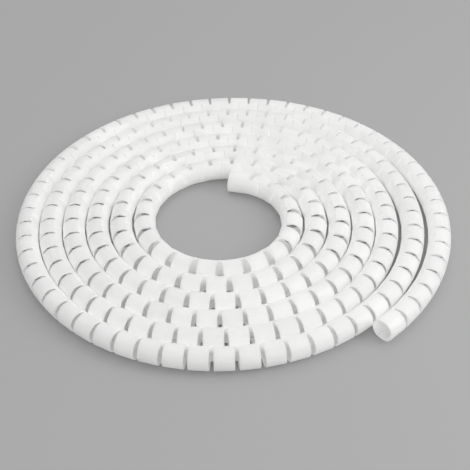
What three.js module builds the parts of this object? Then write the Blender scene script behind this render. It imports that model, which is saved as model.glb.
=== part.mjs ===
// Spiral cable wrap: one soft plastic tube, slit along its whole length and cut by open cross slots,
// lying on the floor as a flat one-layer coil.
// Millimetres, +Z up. The origin is under the middle of the coil, on the floor that it lies on.
import * as THREE from "three";

// The tube
const TUBE_DIAMETER = 20; // outside
const WALL = 1.4;
const RING_LENGTH = 16.6; // of tube between two slots
const SLOT_WIDTH = 2; // of a cross slot where the bend neither opens nor closes it
const SLIT_GAP = 0.3; // between the two lips of the lengthwise slit
const NEUTRAL_OFFSET = 8.4; // from the tube's axis towards the coil's middle, to the line that keeps its length
const RING_COUNT = 247;

// The coil, wound clockwise from its inner end as seen from above
const COIL_START_RADIUS = 57.3; // of the tube's axis at the inner end
const COIL_START_DEGREES = 84.4; // around from +X
const TURN_GAP = 0.6; // between the tubes of two neighbouring turns

// How this coil strays from an even spiral
const OVAL_DEPTH = 1.6; // of the innermost turns, which are narrower along X than along Y
const OVAL_TURNS = 3; // over which that fades away
const FREE_END_SWING = 4.9; // of the last turn, which stands off the one inside it
const FREE_END_TURN = 6.22;
const FREE_END_REACH = 0.265; // turns to either side of its widest place
const FIFTH_TURN_SWING = 2.1;
const FIFTH_TURN = 5.23;
const FIFTH_TURN_REACH = 0.305;

// The finish
const COLOUR = 0xf1f2f1;
const ROUGHNESS = 0.38;
const METALNESS = 0;

const TURN_SPACING = TUBE_DIAMETER + TURN_GAP;
const PITCH = RING_LENGTH + SLOT_WIDTH;
const RADIUS = TUBE_DIAMETER / 2;
// Half the width of the flat top and bottom that gives the six-sided tube the area of a round one.
const HALF_FLAT = TUBE_DIAMETER * (Math.PI / 4 - 1 / 2);
const BORE_SCALE = 1 - WALL / RADIUS;

// The six-sided section as [outwards from the coil's middle, up]. The slit splits its lower inner
// corner. The rings run from one lip of the slit, under, outside and over the tube, to the spine at
// its upper inner corner. The coil side runs from there down to the other lip, and no slot cuts it.
const RING_SECTION = [
  [-HALF_FLAT + SLIT_GAP / 2, -RADIUS],
  [HALF_FLAT, -RADIUS],
  [RADIUS, 0],
  [HALF_FLAT, RADIUS],
  [-HALF_FLAT, RADIUS],
];
const COIL_SIDE_SECTION = [
  [-RADIUS, 0],
  [-HALF_FLAT - SLIT_GAP / 2, -RADIUS],
];

// A smooth swelling of one stretch of a turn, from 0 to 1 and back.
function swelling(turn, middle, reach) {
  const rise = THREE.MathUtils.clamp(1 - Math.abs(turn - middle) / reach, 0, 1);
  return rise * rise * (3 - 2 * rise);
}

// How far the tube's axis is from the coil's middle after so many turns.
function radiusAt(turn) {
  const planAngle = THREE.MathUtils.degToRad(COIL_START_DEGREES) - turn * 2 * Math.PI;
  const oval = Math.max(0, 1 - turn / OVAL_TURNS) * Math.cos(2 * planAngle);
  return (
    COIL_START_RADIUS +
    TURN_SPACING * turn -
    OVAL_DEPTH * oval +
    FREE_END_SWING * swelling(turn, FREE_END_TURN, FREE_END_REACH) +
    FIFTH_TURN_SWING * swelling(turn, FIFTH_TURN, FIFTH_TURN_REACH)
  );
}

// The tube's axis after so many turns, at the tube's middle height.
function axisAt(turn) {
  const planAngle = THREE.MathUtils.degToRad(COIL_START_DEGREES) - turn * 2 * Math.PI;
  const radius = radiusAt(turn);
  return new THREE.Vector3(radius * Math.cos(planAngle), radius * Math.sin(planAngle), RADIUS);
}

// The places on the axis in the middle of each slot, and at the two ends: a pitch apart along the
// line that keeps its length.
function slotPlaces() {
  const places = [axisAt(0)];
  let turn = 0;
  let step = 0;
  for (let ring = 0; ring < RING_COUNT; ring += 1) {
    step = PITCH / (2 * Math.PI * (radiusAt(turn + step / 2) - NEUTRAL_OFFSET));
    turn += step;
    places.push(axisAt(turn));
  }
  return places;
}

// One section's corners at a place: its outside ones and, drawn in by the wall, its bore's.
function corners(section, place, outwards) {
  const at = ([out, up], scale) =>
    place
      .clone()
      .addScaledVector(outwards, out * scale)
      .add(new THREE.Vector3(0, 0, up * scale));
  return {
    outer: section.map((corner) => at(corner, 1)),
    bore: section.map((corner) => at(corner, BORE_SCALE)),
  };
}

// Triangles, each with its corners counterclockwise as seen from outside.
const triangles = [];

function triangle(a, b, c) {
  triangles.push(a, b, c);
}

function quad(a, b, c, d) {
  triangle(a, b, c);
  triangle(a, c, d);
}

// The wall's cut face across a run of corners, facing back towards the inner end of the coil.
function cutFacingBack({ outer, bore }) {
  for (let i = 0; i + 1 < outer.length; i += 1) quad(outer[i], bore[i], bore[i + 1], outer[i + 1]);
}

function cutFacingOn({ outer, bore }) {
  for (let i = 0; i + 1 < outer.length; i += 1) quad(outer[i], outer[i + 1], bore[i + 1], bore[i]);
}

// The wall between two runs of corners, one further along the tube than the other.
function wallBetween(back, on) {
  for (let i = 0; i + 1 < back.outer.length; i += 1) {
    quad(back.outer[i], back.outer[i + 1], on.outer[i + 1], on.outer[i]);
    quad(back.bore[i], on.bore[i], on.bore[i + 1], back.bore[i + 1]);
  }
}

const places = slotPlaces();
const upwards = new THREE.Vector3(0, 0, 1);

// Each ring is straight, so it has one direction along the tube and one outwards.
const rings = places.slice(1).map((end, i) => {
  const along = end.clone().sub(places[i]).normalize();
  const outwards = new THREE.Vector3().crossVectors(along, upwards).negate();
  const middle = end.clone().add(places[i]).divideScalar(2);
  const first = i === 0;
  const last = i === RING_COUNT - 1;
  const startAt = first ? places[i] : middle.clone().addScaledVector(along, -RING_LENGTH / 2);
  const endAt = last ? end : middle.clone().addScaledVector(along, RING_LENGTH / 2);
  return {
    outwards,
    start: corners(RING_SECTION, startAt, outwards),
    end: corners(RING_SECTION, endAt, outwards),
  };
});

// The coil side bends in the middle of each slot, mitred between the rings before and after it.
const bends = places.map((place, i) => {
  const before = rings[Math.max(i - 1, 0)].outwards;
  const after = rings[Math.min(i, RING_COUNT - 1)].outwards;
  const halfway = before.clone().add(after).normalize();
  return corners(COIL_SIDE_SECTION, place, halfway.divideScalar(halfway.dot(before)));
});

const SPINE = RING_SECTION.length - 1;
const LIP = COIL_SIDE_SECTION.length - 1;

// The rings with their cut faces, and their lip of the slit.
rings.forEach(({ start, end }) => {
  wallBetween(start, end);
  cutFacingBack(start);
  cutFacingOn(end);
  quad(start.outer[0], end.outer[0], end.bore[0], start.bore[0]);
});

// The spine beside each ring, and the coil side with its lip of the slit.
rings.forEach(({ start, end }, i) => {
  const back = bends[i];
  const on = bends[i + 1];
  quad(start.outer[SPINE], back.outer[0], on.outer[0], end.outer[SPINE]);
  quad(start.bore[SPINE], end.bore[SPINE], on.bore[0], back.bore[0]);
  wallBetween(back, on);
  quad(back.outer[LIP], back.bore[LIP], on.bore[LIP], on.outer[LIP]);
});

// The spine across each slot, with the slot's blind end.
rings.slice(1).forEach(({ start }, i) => {
  const { end } = rings[i];
  const bend = bends[i + 1];
  triangle(end.outer[SPINE], bend.outer[0], start.outer[SPINE]);
  triangle(end.bore[SPINE], start.bore[SPINE], bend.bore[0]);
  quad(end.outer[SPINE], start.outer[SPINE], start.bore[SPINE], end.bore[SPINE]);
});

// The tube's two square ends, where the coil side is cut in line with the ring beside it.
function wholeEnd(ring, bend) {
  return {
    outer: [ring.outer[SPINE], ...bend.outer],
    bore: [ring.bore[SPINE], ...bend.bore],
  };
}
cutFacingBack(wholeEnd(rings[0].start, bends[0]));
cutFacingOn(wholeEnd(rings[RING_COUNT - 1].end, bends[RING_COUNT]));

const geometry = new THREE.BufferGeometry().setFromPoints(triangles);
geometry.computeVertexNormals();
geometry.computeBoundingBox();
const coilMiddle = geometry.boundingBox.getCenter(new THREE.Vector3());
geometry.translate(-coilMiddle.x, -coilMiddle.y, 0);

const material = new THREE.MeshStandardMaterial({
  color: COLOUR,
  roughness: ROUGHNESS,
  metalness: METALNESS,
});
const wrap = new THREE.Mesh(geometry, material);
wrap.name = "spiral_wrap";

const part = new THREE.Group();
part.add(wrap);

export default part;
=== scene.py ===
"""A coil of white spiral cable wrap: a split plastic tube, cut into rings by staggered cross slots.

Metres, +Z up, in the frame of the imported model: the coil lies on the floor at z = 0, and the
origin is under its middle.
"""

import math
import random

import bmesh
import bpy
from mathutils import Matrix, Vector


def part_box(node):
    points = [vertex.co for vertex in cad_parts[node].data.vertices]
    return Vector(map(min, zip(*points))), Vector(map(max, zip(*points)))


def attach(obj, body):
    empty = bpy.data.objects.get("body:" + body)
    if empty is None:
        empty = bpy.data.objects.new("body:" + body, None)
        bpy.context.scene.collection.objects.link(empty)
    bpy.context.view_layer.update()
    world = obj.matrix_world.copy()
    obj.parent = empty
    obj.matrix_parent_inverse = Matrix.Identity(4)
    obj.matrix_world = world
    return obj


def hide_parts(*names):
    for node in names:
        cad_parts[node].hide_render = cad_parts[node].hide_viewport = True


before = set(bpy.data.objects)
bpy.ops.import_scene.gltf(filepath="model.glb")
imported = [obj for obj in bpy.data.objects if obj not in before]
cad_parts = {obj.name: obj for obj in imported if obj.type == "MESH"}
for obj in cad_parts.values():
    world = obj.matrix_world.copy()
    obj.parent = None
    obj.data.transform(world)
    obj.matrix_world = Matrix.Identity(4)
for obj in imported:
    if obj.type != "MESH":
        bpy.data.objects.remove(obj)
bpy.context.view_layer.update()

NODE = "spiral_wrap"
MM = 0.001
random.seed(16)

# The camera, from the outline and the turns of the coil in the photograph
CAMERA_AIM = Vector((1.8 * MM, -25.5 * MM, 10 * MM))
CAMERA_DISTANCE = 1.0218
CAMERA_ELEVATION = math.radians(40.0)
CAMERA_ROLL = math.radians(-1.1)
FOCAL_PIXELS = 1158.8
PHOTO_PIXELS = 470
SENSOR_MM = 36

# The tube, as in the part
node_low, node_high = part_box(NODE)
TUBE_DIAMETER = node_high[2] - node_low[2]
WALL = 1.4 * MM
RING_LENGTH = 16.6 * MM
SLOT_WIDTH = 2 * MM
SLIT_GAP = 0.3 * MM
NEUTRAL_OFFSET = 8.4 * MM
RING_COUNT = 247

# The coil, as in the part
COIL_START_RADIUS = 57.3 * MM
COIL_START_ANGLE = math.radians(84.4)
TURN_GAP = 0.6 * MM
OVAL_DEPTH = 1.6 * MM
OVAL_TURNS = 3
FREE_END_SWING = 4.9 * MM
FREE_END_TURN = 6.22
FREE_END_REACH = 0.265
FIFTH_TURN_SWING = 2.1 * MM
FIFTH_TURN = 5.23
FIFTH_TURN_REACH = 0.305

# Where the cuts begin and end, in degrees around the tube: 0 is outwards from the coil's middle,
# 90 is up. An outer slot runs from the slit to its end over the outer side, and an inner slot from
# its end to the slit over the coil's side. Near its end a slot narrows to a round.
SLIT_ANGLE = -118.5
OUTER_SLOT_END = 122
OUTER_SLOT_ROUND = 11.5
INNER_SLOT_END = 112
INNER_SLOT_ROUND = 9

# An inner slot before the coil's bend presses on it, and the least that then stays open
INNER_SLOT_WIDTH = 1.0 * MM
INNER_SLOT_LEAST = 0.15 * MM

# The bevel along each cut, and how far a cut strays from its place
CHAMFER = 0.28 * MM
CUT_WANDER = 0.12 * MM

# How finely the surface is divided
OUTER_SIDE_STEPS = 13
COIL_SIDE_STEPS = 7
ROUND_STEPS = 4
MERGE_DISTANCE = 0.002 * MM
SHORTEST_EDGE = 0.001 * MM
FLAT_FACE_WEIGHT = 90

# The points of a row along one ring, in order: the two ends, and the inner slot in its middle. Each
# has a point on the wall of the cut, and one at the foot of the chamfer beside it.
START_WALL = 0
START_FOOT = 1
SLOT_FIRST_FOOT = 2
SLOT_FIRST_WALL = 3
SLOT_SECOND_WALL = 4
SLOT_SECOND_FOOT = 5
END_FOOT = 6
END_WALL = 7
COLUMNS = 8

# The plastic: the tones of its streaks, and a paler colour on the cut walls of the outer slots and
# on the tube's inner face, which is painted light: a painted highlight on the cut faces and painted
# light inside the tube; how closely the streaks and clouds repeat along and around the tube, and
# how deep light soaks in, with each colour's share
DULL_STREAK = (0.84, 0.84, 0.835, 1)
PALE_STREAK = (0.96, 0.96, 0.95, 1)
PAINTED_LIGHT_ON_CUTS_AND_INSIDE = (0.99, 0.99, 0.985, 1)
STREAKS_PER_METRE = (40, 900, 1)
CLOUDS_PER_METRE = 90
SOFT_DEPTH = 12 * MM
SOFT_DEPTH_SHARES = (1.0, 1.0, 0.95)
STREAK_HEIGHT = 0.15 * MM

# The setting
FLOOR_COLOUR = (0.28, 0.28, 0.28, 1)
FLOOR_SIZE = 12
SURROUND_STRENGTH = 0.41
PICTURE_GAMMA = 1.8

RADIUS = TUBE_DIAMETER / 2
PITCH = RING_LENGTH + SLOT_WIDTH
TURN_SPACING = TUBE_DIAMETER + TURN_GAP
CHAMFER_DEGREES = math.degrees(CHAMFER / RADIUS)
INNER_SLOT_OUT = RADIUS * math.cos(math.radians(INNER_SLOT_END))


def add_camera():
    """Stands the camera where the photograph was taken from."""
    back = Vector((0, -math.cos(CAMERA_ELEVATION), math.sin(CAMERA_ELEVATION)))
    level = Vector((1, 0, 0))
    upright = back.cross(level)
    right = math.cos(CAMERA_ROLL) * level + math.sin(CAMERA_ROLL) * upright
    up = back.cross(right)
    data = bpy.data.cameras.new("camera")
    data.sensor_fit = "HORIZONTAL"
    data.sensor_width = SENSOR_MM
    data.lens = FOCAL_PIXELS / PHOTO_PIXELS * SENSOR_MM
    data.clip_start = 0.05
    data.clip_end = 20
    camera = bpy.data.objects.new("camera", data)
    turned = Matrix((right, up, back)).transposed().to_4x4()
    camera.matrix_world = Matrix.Translation(CAMERA_AIM + back * CAMERA_DISTANCE) @ turned
    bpy.context.collection.objects.link(camera)
    bpy.context.scene.camera = camera


def swelling(turn, middle, reach):
    """Rises smoothly from 0 to 1 and back, over one stretch of a turn."""
    rise = min(max(1 - abs(turn - middle) / reach, 0), 1)
    return rise * rise * (3 - 2 * rise)


def radius_at(turn):
    """How far the tube's axis is from the coil's middle after so many turns."""
    plan_angle = COIL_START_ANGLE - turn * 2 * math.pi
    oval = max(0, 1 - turn / OVAL_TURNS) * math.cos(2 * plan_angle)
    return (
        COIL_START_RADIUS
        + TURN_SPACING * turn
        - OVAL_DEPTH * oval
        + FREE_END_SWING * swelling(turn, FREE_END_TURN, FREE_END_REACH)
        + FIFTH_TURN_SWING * swelling(turn, FIFTH_TURN, FIFTH_TURN_REACH)
    )


def axis_at(turn):
    """The tube's axis after so many turns."""
    plan_angle = COIL_START_ANGLE - turn * 2 * math.pi
    radius = radius_at(turn)
    return Vector((radius * math.cos(plan_angle), radius * math.sin(plan_angle), RADIUS))


def slot_places():
    """The places on the axis in the middle of each outer slot, and at the two ends."""
    places = [axis_at(0)]
    turn = 0
    step = 0
    for _ in range(RING_COUNT):
        step = PITCH / (2 * math.pi * (radius_at(turn + step / 2) - NEUTRAL_OFFSET))
        turn += step
        places.append(axis_at(turn))
    return places


class Straight:
    """A straight stretch of the tube: a ring between outer slots, or a tab between inner ones."""

    def __init__(self, middle, along):
        self.middle = middle
        self.along = along
        self.outwards = -along.cross(Vector((0, 0, 1)))

    def point(self, distance, out, up):
        """The place that far along from the middle, that far out and that far up."""
        return self.middle + self.along * distance + self.outwards * out + Vector((0, 0, up))


class Ring(Straight):
    """One ring, which leans at its two ends to half the bend between it and the next."""

    def __init__(self, start, end):
        super().__init__((start + end) / 2, (end - start).normalized())
        self.half = (end - start).length / 2
        self.lean_start = 0
        self.lean_end = 0
        self.cut_start = -RING_LENGTH / 2 + random.uniform(-CUT_WANDER, CUT_WANDER)
        self.cut_end = RING_LENGTH / 2 + random.uniform(-CUT_WANDER, CUT_WANDER)
        self.tone = random.random()
        self.inner_slotted = True


def make_rings(places):
    """The rings of the outer side, each straight between two outer slots."""
    rings = [Ring(start, end) for start, end in zip(places, places[1:])]
    for before, after in zip(rings, rings[1:]):
        lean = math.tan(before.along.angle(after.along) / 2)
        before.lean_end = lean
        after.lean_start = lean
    rings[0].cut_start = -rings[0].half
    rings[-1].cut_end = rings[-1].half
    rings[0].inner_slotted = rings[-1].inner_slotted = False
    return rings


def make_tabs(places, rings):
    """The tabs of the coil's side, each straight between two inner slots and across two rings."""
    befores = [rings[0]] + rings
    afters = rings + [rings[-1]]
    return [
        Straight(place, (before.along + after.along).normalized())
        for place, before, after in zip(places, befores, afters)
    ]


def steps(first, last, count):
    """Even steps from first to last, both included."""
    return [first + (last - first) * i / count for i in range(count + 1)]


def slot_opening(inside, round_end):
    """How far a slot is open, 0 to 1, so many degrees inside its end, or None past the end."""
    if inside < 0:
        return None
    if inside >= round_end:
        return 1
    return math.sqrt(1 - (1 - inside / round_end) ** 2)


class Row:
    """One line of the surface along the tube, at one angle around it."""

    def __init__(self, degrees, lip=False):
        self.angle = math.radians(degrees)
        self.lip = lip
        self.outer_slot = slot_opening(OUTER_SLOT_END - degrees, OUTER_SLOT_ROUND)
        self.inner_slot = slot_opening(degrees - INNER_SLOT_END, INNER_SLOT_ROUND)
        past = (degrees - INNER_SLOT_END) / (OUTER_SLOT_END - INNER_SLOT_END)
        self.tab_share = min(max(past, 0), 1)


def make_rows():
    """The rows once around the tube, from one lip of the slit to the other."""
    first = SLIT_ANGLE
    last = 360 + SLIT_ANGLE - 2 * math.degrees(SLIT_GAP / TUBE_DIAMETER)
    turned = [i / ROUND_STEPS * math.pi / 2 for i in range(1, ROUND_STEPS)]
    outer_round = [OUTER_SLOT_END - OUTER_SLOT_ROUND * (1 - math.sin(turn)) for turn in turned]
    inner_round = [INNER_SLOT_END + INNER_SLOT_ROUND * (1 - math.cos(turn)) for turn in turned]
    degrees = (
        steps(first + CHAMFER_DEGREES, OUTER_SLOT_END - OUTER_SLOT_ROUND, OUTER_SIDE_STEPS)
        + outer_round
        + [OUTER_SLOT_END, OUTER_SLOT_END + CHAMFER_DEGREES]
        + [INNER_SLOT_END - CHAMFER_DEGREES, INNER_SLOT_END]
        + inner_round
        + steps(INNER_SLOT_END + INNER_SLOT_ROUND, last - CHAMFER_DEGREES, COIL_SIDE_STEPS)
    )
    between = [Row(angle) for angle in sorted(degrees)]
    return [Row(first, lip=True)] + between + [Row(last, lip=True)]


def row_points(ring, tabs, row, radius, inward):
    """A row's points on the wall's outer or inner face, and how far along the ring each one is.

    inward is 1 on the outer face and -1 on the inner face, the way into the wall.
    """
    edge_depth = CHAMFER if row.lip or row.outer_slot is not None else 0
    out = (radius - inward * edge_depth) * math.cos(row.angle)
    start = -(ring.half + out * ring.lean_start)
    end = ring.half + out * ring.lean_end
    sunk = [CHAMFER if row.lip else 0] * COLUMNS
    along = [start, start, 0, 0, 0, 0, end, end]
    if row.outer_slot is not None:
        along[START_WALL] = start + (ring.cut_start - start) * row.outer_slot
        along[START_FOOT] = along[START_WALL] + CHAMFER
        along[END_WALL] = end + (ring.cut_end - end) * row.outer_slot
        along[END_FOOT] = along[END_WALL] - CHAMFER
        sunk[START_WALL] = sunk[END_WALL] = CHAMFER
    if row.inner_slot is not None and ring.inner_slotted:
        pressed = (INNER_SLOT_OUT - out) * (ring.lean_start + ring.lean_end)
        half_width = max(INNER_SLOT_WIDTH - pressed, INNER_SLOT_LEAST) / 2 * row.inner_slot
        along[SLOT_FIRST_FOOT] = -half_width - CHAMFER
        along[SLOT_FIRST_WALL] = -half_width
        along[SLOT_SECOND_WALL] = half_width
        along[SLOT_SECOND_FOOT] = half_width + CHAMFER
        sunk[SLOT_FIRST_WALL] = sunk[SLOT_SECOND_WALL] = CHAMFER
    points = []
    for column, (distance, depth) in enumerate(zip(along, sunk)):
        reach = radius - inward * depth
        out = reach * math.cos(row.angle)
        up = reach * math.sin(row.angle)
        on_first = tabs[0].point(distance - start, out, up)
        on_second = tabs[1].point(distance - end, out, up)
        on_tab = on_first if column <= SLOT_FIRST_WALL else on_second
        if not ring.inner_slotted and SLOT_FIRST_FOOT <= column <= SLOT_SECOND_FOOT:
            on_tab = on_first.lerp(on_second, 0.5)
        points.append(ring.point(distance, out, up).lerp(on_tab, row.tab_share))
    return points, along


class Surface:
    """The vertices and faces of the wrap as they are made."""

    def __init__(self):
        self.vertices = []
        self.flat = []
        self.tones = []
        self.painted_light_on_cuts_and_inside = []
        self.faces = []

    def add(self, point, along, around, tone, painted_light_on_cuts_and_inside):
        """Adds a vertex with its place on the unrolled tube, and returns its number."""
        self.vertices.append(point)
        self.flat.append((along, around))
        self.tones.append(tone)
        self.painted_light_on_cuts_and_inside.append(float(painted_light_on_cuts_and_inside))
        return len(self.vertices) - 1


def face_looking_back(outer, inner, i, k):
    """A face of a cut's wall, after row i at column k, that looks to the start of the tube."""
    return outer[i][k], inner[i][k], inner[i + 1][k], outer[i + 1][k]


def face_looking_on(outer, inner, i, k):
    """A face of a cut's wall, after row i at column k, that looks to the end of the tube."""
    return outer[i][k], outer[i + 1][k], inner[i + 1][k], inner[i][k]


def add_ring(surface, ring, tabs, rows, distance, first, last):
    """Adds one ring and the halves of two tabs that carry it, with the walls of their cuts.

    distance is the ring's middle along the tube. first and last mark the wrap's two end rings.
    """
    grids = []
    for radius, inward in ((RADIUS, 1), (RADIUS - WALL, -1)):
        grid = []
        for row in rows:
            points, along = row_points(ring, tabs, row, radius, inward)
            line = []
            for column in range(COLUMNS):
                # The cut walls of the outer slots and every point of the inner face are marked for
                # a paler colour: a painted highlight on the cut faces and painted light inside the
                # tube.
                cut = row.outer_slot is not None and column in (START_WALL, END_WALL)
                line.append(
                    surface.add(
                        points[column],
                        distance + along[column],
                        row.angle * RADIUS,
                        ring.tone,
                        cut or inward < 0,
                    )
                )
            grid.append(line)
        grids.append(grid)
    outer, inner = grids
    faces = surface.faces
    strips = [k for k in range(COLUMNS - 1) if k != SLOT_FIRST_WALL]
    for i in range(len(rows) - 1):
        for k in strips:
            faces.append((outer[i][k], outer[i + 1][k], outer[i + 1][k + 1], outer[i][k + 1]))
            faces.append((inner[i][k], inner[i][k + 1], inner[i + 1][k + 1], inner[i + 1][k]))
        in_outer_slot = rows[i + 1].outer_slot is not None
        in_inner_slot = rows[i].inner_slot is not None and ring.inner_slotted
        if in_outer_slot or first:
            faces.append(face_looking_back(outer, inner, i, START_WALL))
        if in_outer_slot or last:
            faces.append(face_looking_on(outer, inner, i, END_WALL))
        if in_inner_slot:
            faces.append(face_looking_on(outer, inner, i, SLOT_FIRST_WALL))
            faces.append(face_looking_back(outer, inner, i, SLOT_SECOND_WALL))
    for k in strips:
        faces.append((outer[0][k], outer[0][k + 1], inner[0][k + 1], inner[0][k]))
        faces.append((outer[-1][k], inner[-1][k], inner[-1][k + 1], outer[-1][k + 1]))


def make_wrap():
    """The whole wrap as one closed mesh, and the line that it follows."""
    places = slot_places()
    rings = make_rings(places)
    tabs = make_tabs(places, rings)
    rows = make_rows()
    surface = Surface()
    distance = 0
    for i, ring in enumerate(rings):
        distance += ring.half
        add_ring(surface, ring, tabs[i : i + 2], rows, distance, i == 0, i == RING_COUNT - 1)
        distance += ring.half

    mesh = bpy.data.meshes.new("wrap")
    mesh.from_pydata(surface.vertices, [], surface.faces)
    flat = mesh.uv_layers.new(name="unrolled")
    for loop in mesh.loops:
        flat.data[loop.index].uv = surface.flat[loop.vertex_index]
    # ring_tone is each ring's random tone; the other attribute marks the cut walls and the inner
    # face for painted light.
    for name, values in (("ring_tone", surface.tones), ("painted_light_on_cuts_and_inside", surface.painted_light_on_cuts_and_inside)):
        mesh.attributes.new(name, "FLOAT", "POINT").data.foreach_set("value", values)

    work = bmesh.new()
    work.from_mesh(mesh)
    bmesh.ops.remove_doubles(work, verts=work.verts, dist=MERGE_DISTANCE)
    bmesh.ops.dissolve_degenerate(work, edges=work.edges, dist=SHORTEST_EDGE)
    work.to_mesh(mesh)
    work.free()

    low = [min(vertex.co[i] for vertex in mesh.vertices) for i in range(3)]
    high = [max(vertex.co[i] for vertex in mesh.vertices) for i in range(3)]
    shift = Vector([(node_low[i] + node_high[i] - low[i] - high[i]) / 2 for i in range(3)])
    mesh.transform(Matrix.Translation(shift))
    mesh.polygons.foreach_set("use_smooth", [True] * len(mesh.polygons))
    wrap = bpy.data.objects.new("wrap", mesh)
    bpy.context.collection.objects.link(wrap)
    even = wrap.modifiers.new("even_normals", "WEIGHTED_NORMAL")
    even.weight = FLAT_FACE_WEIGHT
    return wrap, [place + shift for place in places]


def new_material(name):
    """An empty node material, with its nodes, links and main shader."""
    material = bpy.data.materials.new(name)
    material.use_nodes = True
    nodes = material.node_tree.nodes
    shader = nodes["Principled BSDF"]
    return material, nodes, material.node_tree.links, shader


def attribute_node(nodes, name):
    """The number that the mesh carries under that name."""
    node = nodes.new("ShaderNodeAttribute")
    node.attribute_name = name
    return node.outputs["Fac"]


def mixed(nodes, links, first, second, share):
    """Two numbers mixed, by a fixed share of the second."""
    mix = nodes.new("ShaderNodeMix")
    mix.data_type = "FLOAT"
    mix.inputs[0].default_value = share
    links.new(first, mix.inputs[2])
    links.new(second, mix.inputs[3])
    return mix.outputs[0]


def plastic():
    """Soft white plastic, a little see-through, with fine lines along the extruded tube."""
    material, nodes, links, shader = new_material("white_plastic")
    shader.subsurface_method = "BURLEY"
    shader.inputs["Roughness"].default_value = 0.36
    shader.inputs["IOR"].default_value = 1.49
    shader.inputs["Subsurface Weight"].default_value = 1
    shader.inputs["Subsurface Radius"].default_value = SOFT_DEPTH_SHARES
    shader.inputs["Subsurface Scale"].default_value = SOFT_DEPTH

    place = nodes.new("ShaderNodeUVMap")
    place.uv_map = "unrolled"
    stretch = nodes.new("ShaderNodeMapping")
    stretch.inputs["Scale"].default_value = STREAKS_PER_METRE
    links.new(place.outputs["UV"], stretch.inputs["Vector"])
    lines = nodes.new("ShaderNodeTexNoise")
    lines.inputs["Scale"].default_value = 1
    lines.inputs["Detail"].default_value = 3
    links.new(stretch.outputs["Vector"], lines.inputs["Vector"])

    cloud = nodes.new("ShaderNodeTexNoise")
    cloud.inputs["Scale"].default_value = CLOUDS_PER_METRE
    cloud.inputs["Detail"].default_value = 4
    spot = nodes.new("ShaderNodeTexCoord")
    links.new(spot.outputs["Object"], cloud.inputs["Vector"])

    cloudy = mixed(nodes, links, cloud.outputs["Fac"], lines.outputs["Fac"], share=0.5)
    blend = mixed(nodes, links, cloudy, attribute_node(nodes, "ring_tone"), share=0.3)
    surface = nodes.new("ShaderNodeValToRGB")
    dull, pale = surface.color_ramp.elements
    dull.position, dull.color = 0.3, DULL_STREAK
    pale.position, pale.color = 0.7, PALE_STREAK
    links.new(blend, surface.inputs["Fac"])
    # Paler on the cut walls and the inner face: a painted highlight on the cut faces and painted
    # light inside the tube.
    colour = nodes.new("ShaderNodeMix")
    colour.data_type = "RGBA"
    factor, first, second = colour.inputs[0], colour.inputs[6], colour.inputs[7]
    second.default_value = PAINTED_LIGHT_ON_CUTS_AND_INSIDE
    links.new(attribute_node(nodes, "painted_light_on_cuts_and_inside"), factor)
    links.new(surface.outputs["Color"], first)
    links.new(colour.outputs[2], shader.inputs["Base Color"])

    bump = nodes.new("ShaderNodeBump")
    bump.inputs["Strength"].default_value = 0.4
    bump.inputs["Distance"].default_value = STREAK_HEIGHT
    links.new(lines.outputs["Fac"], bump.inputs["Height"])
    links.new(bump.outputs["Normal"], shader.inputs["Normal"])
    return material


def add_floor():
    """A plain pale floor."""
    material, _, _, shader = new_material("floor")
    shader.inputs["Base Color"].default_value = FLOOR_COLOUR
    shader.inputs["Roughness"].default_value = 0.7
    bpy.ops.mesh.primitive_plane_add(size=FLOOR_SIZE, location=(0, 0, 0))
    floor = bpy.context.object
    floor.name = "floor"
    floor.data.materials.append(material)


def add_light(name, energy, size, place, aim):
    """A square softbox of so many watts, its size and places in metres."""
    data = bpy.data.lights.new(name, "AREA")
    data.energy = energy
    data.size = size
    light = bpy.data.objects.new(name, data)
    light.location = place
    light.rotation_euler = (Vector(aim) - Vector(place)).to_track_quat("-Z", "Y").to_euler()
    bpy.context.collection.objects.link(light)


def add_lights():
    """Plain soft studio light from all sides, nearest at the right, shown with open shades."""
    add_light("top", energy=3.2, size=1.2, place=(0.1, 0.5, 1.5), aim=(0, 0, 0))
    add_light("right", energy=3.9, size=0.6, place=(1.0, -0.2, 0.7), aim=(0.1, 0, 0))
    add_light("front", energy=3.3, size=1.0, place=(0.5, -1.3, 1.2), aim=(0, 0, 0))
    world = bpy.data.worlds.new("studio")
    bpy.context.scene.world = world
    world.use_nodes = True
    surround = world.node_tree.nodes["Background"]
    surround.inputs["Color"].default_value = (1, 1, 1, 1)
    surround.inputs["Strength"].default_value = SURROUND_STRENGTH
    view = bpy.context.scene.view_settings
    view.view_transform = "Standard"
    view.gamma = PICTURE_GAMMA


add_camera()
wrap, path = make_wrap()
wrap.data.materials.append(plastic())
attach(wrap, "root")
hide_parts(NODE)
add_floor()
add_lights()
